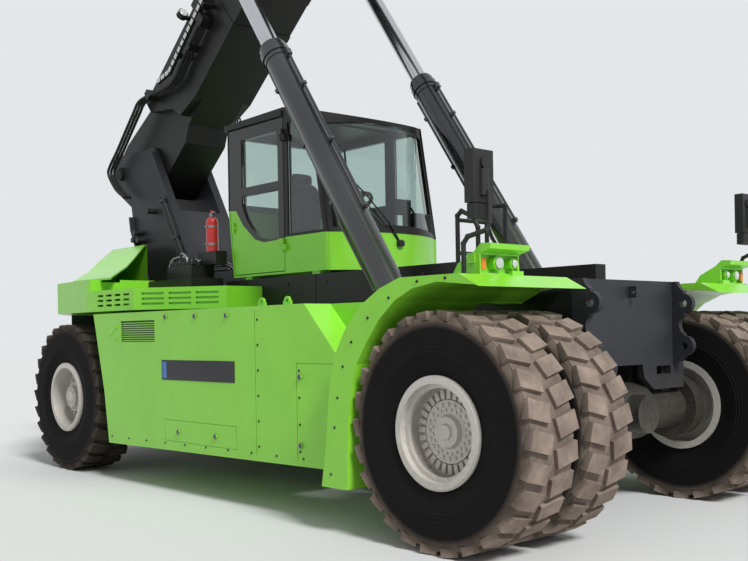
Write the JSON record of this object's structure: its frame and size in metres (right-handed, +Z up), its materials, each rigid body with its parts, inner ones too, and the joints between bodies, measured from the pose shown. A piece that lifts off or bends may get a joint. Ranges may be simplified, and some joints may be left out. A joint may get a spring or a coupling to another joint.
{
  "type": "reach stacker",
  "caption": "Lime-green electric reach stacker with a raised telescopic boom on lift cylinders, a glazed cab, dual front wheels, steered rear wheels and a turning container spreader.",
  "frame": {"origin": "on the ground, at the middle of the machine's overall length and width as it is parked with the boom raised", "axes": "+X forward, toward the spreader; +Y to the machine's left; +Z up"},
  "size_m": [9.6414, 6.154, 9.6335],
  "materials": {
    "green_paint": "gloss lime-green machine enamel",
    "black_paint": "satin black enamel",
    "grey_paint": "satin dark grey enamel",
    "silver_paint": "silver wheel paint",
    "chrome_rod": "ground hard chrome",
    "steel": "zinc-plated tube and bare steel",
    "cast_weight": "painted casting",
    "tyre": "matt rubber",
    "glass": "clear tinted safety glass",
    "seat_cloth": "woven black seat cloth",
    "plastic": "moulded black plastic",
    "red_paint": "red enamel"
  },
  "bodies": {
    "chassis": {"chassis_frame": "black_paint", "front_plate": "grey_paint", "boom_tower": "grey_paint", "cab_rails": "black_paint", "counterweight": "cast_weight", "tail_hood": "green_paint", "cabinet_right": "green_paint", "cabinet_left": "green_paint", "battery_block": "grey_paint", "fender_right": "green_paint", "fender_left": "green_paint", "side_mirror": "plastic", "handrails": "black_paint", "tower_pipes": "steel", "valve_block": "black_paint", "red_bottle": "red_paint", "front_axle": "black_paint", "rear_axle": "black_paint", "cab_body": "green_paint", "cab_frame": "black_paint", "cab_glass": "glass", "seat": "seat_cloth", "console": "plastic"},
    "wheels_front_right": {"front_rims_right": "silver_paint", "front_tyres_right": "tyre"},
    "wheels_front_left": {"front_rims_left": "silver_paint", "front_tyres_left": "tyre"},
    "steer_right": {"knuckle_right": "black_paint"},
    "steer_left": {"knuckle_left": "black_paint"},
    "wheel_rear_right": {"rear_rim_right": "silver_paint", "rear_tyre_right": "tyre"},
    "wheel_rear_left": {"rear_rim_left": "silver_paint", "rear_tyre_left": "tyre"},
    "door": {"cab_door": "green_paint", "door_glass": "glass"},
    "boom": {"outer_boom": "black_paint", "boom_pipes": "steel"},
    "boom_inner": {"inner_boom": "black_paint"},
    "yoke": {"yoke": "black_paint"},
    "rotator": {"rotator": "black_paint"},
    "spreader": {"spreader_frame": "green_paint"},
    "beam_right": {"spreader_beam_right": "green_paint"},
    "beam_left": {"spreader_beam_left": "green_paint"},
    "barrel_right": {"lift_barrel_right": "black_paint"},
    "barrel_left": {"lift_barrel_left": "black_paint"},
    "rod_right": {"lift_rod_right": "chrome_rod"},
    "rod_left": {"lift_rod_left": "chrome_rod"}
  },
  "joints": [
    {"name": "front_wheels_right", "type": "hinge", "parent": "chassis", "child": "wheels_front_right", "pos_m": [2.85928, -1.83, 0.82], "axis": [0, 1, 0], "continuous": true},
    {"name": "front_wheels_left", "type": "hinge", "parent": "chassis", "child": "wheels_front_left", "pos_m": [2.85928, 1.83, 0.82], "axis": [0, 1, 0], "continuous": true},
    {"name": "steer_right", "type": "hinge", "parent": "chassis", "child": "steer_right", "pos_m": [-3.14072, -1.29, 0.82], "axis": [0, 0, 1], "range_deg": [-40, 40]},
    {"name": "steer_left", "type": "hinge", "parent": "chassis", "child": "steer_left", "pos_m": [-3.14072, 1.29, 0.82], "axis": [0, 0, 1], "range_deg": [-40, 40]},
    {"name": "rear_wheel_right", "type": "hinge", "parent": "steer_right", "child": "wheel_rear_right", "pos_m": [-3.14072, -1.63, 0.82], "axis": [0, 1, 0], "continuous": true},
    {"name": "rear_wheel_left", "type": "hinge", "parent": "steer_left", "child": "wheel_rear_left", "pos_m": [-3.14072, 1.63, 0.82], "axis": [0, 1, 0], "continuous": true},
    {"name": "cab_door", "type": "hinge", "parent": "chassis", "child": "door", "pos_m": [-0.45572, -0.782, 2.9], "axis": [0, 0, 1], "range_deg": [0, 85]},
    {"name": "boom_lift", "type": "hinge", "parent": "chassis", "child": "boom", "pos_m": [-4.57072, 0, 3.67], "axis": [0, -1, 0], "range_deg": [-24.5, 21]},
    {"name": "boom_extend", "type": "slide", "parent": "boom", "child": "boom_inner", "axis": [0.7771, 0, 0.6293], "range_m": [0, 6.2]},
    {"name": "head_level", "type": "hinge", "parent": "boom_inner", "child": "yoke", "pos_m": [3.60072, 0, 8.35696], "axis": [0, -1, 0], "range_deg": [-21, 24.5]},
    {"name": "spreader_turn", "type": "hinge", "parent": "yoke", "child": "rotator", "pos_m": [3.60072, 0, 7.35696], "axis": [0, 0, 1], "range_deg": [-105, 195]},
    {"name": "side_shift", "type": "slide", "parent": "rotator", "child": "spreader", "axis": [0, -1, 0], "range_m": [-0.8, 0.8]},
    {"name": "beam_right_out", "type": "slide", "parent": "spreader", "child": "beam_right", "axis": [0, -1, 0], "range_m": [0, 3.066]},
    {"name": "beam_left_out", "type": "slide", "parent": "spreader", "child": "beam_left", "axis": [0, 1, 0], "range_m": [0, 3.066]},
    {"name": "barrel_right", "type": "hinge", "parent": "chassis", "child": "barrel_right", "pos_m": [1.77928, -1.02, 1.25], "axis": [0, -1, 0], "range_deg": [-0.71, 0.74]},
    {"name": "rod_right", "type": "slide", "parent": "barrel_right", "child": "rod_right", "axis": [-0.5592, 0, 0.8291], "range_m": [-1.635, 1.403]},
    {"name": "barrel_left", "type": "hinge", "parent": "chassis", "child": "barrel_left", "pos_m": [1.77928, 1.02, 1.25], "axis": [0, -1, 0], "range_deg": [-0.71, 0.74]},
    {"name": "rod_left", "type": "slide", "parent": "barrel_left", "child": "rod_left", "axis": [-0.5592, 0, 0.8291], "range_m": [-1.635, 1.403]}
  ],
  "couplings": [
    {"joint": "steer_left", "follows": "steer_right", "ratio": 1},
    {"joint": "beam_left_out", "follows": "beam_right_out", "ratio": 1},
    {"joint": "head_level", "follows": "boom_lift", "ratio": -1},
    {"joint": "barrel_right", "follows": "boom_lift", "ratio": -0.01},
    {"joint": "rod_right", "follows": "boom_lift", "m_per_rad": 3.8},
    {"joint": "barrel_left", "follows": "boom_lift", "ratio": -0.01},
    {"joint": "rod_left", "follows": "boom_lift", "m_per_rad": 3.8}
  ]
}
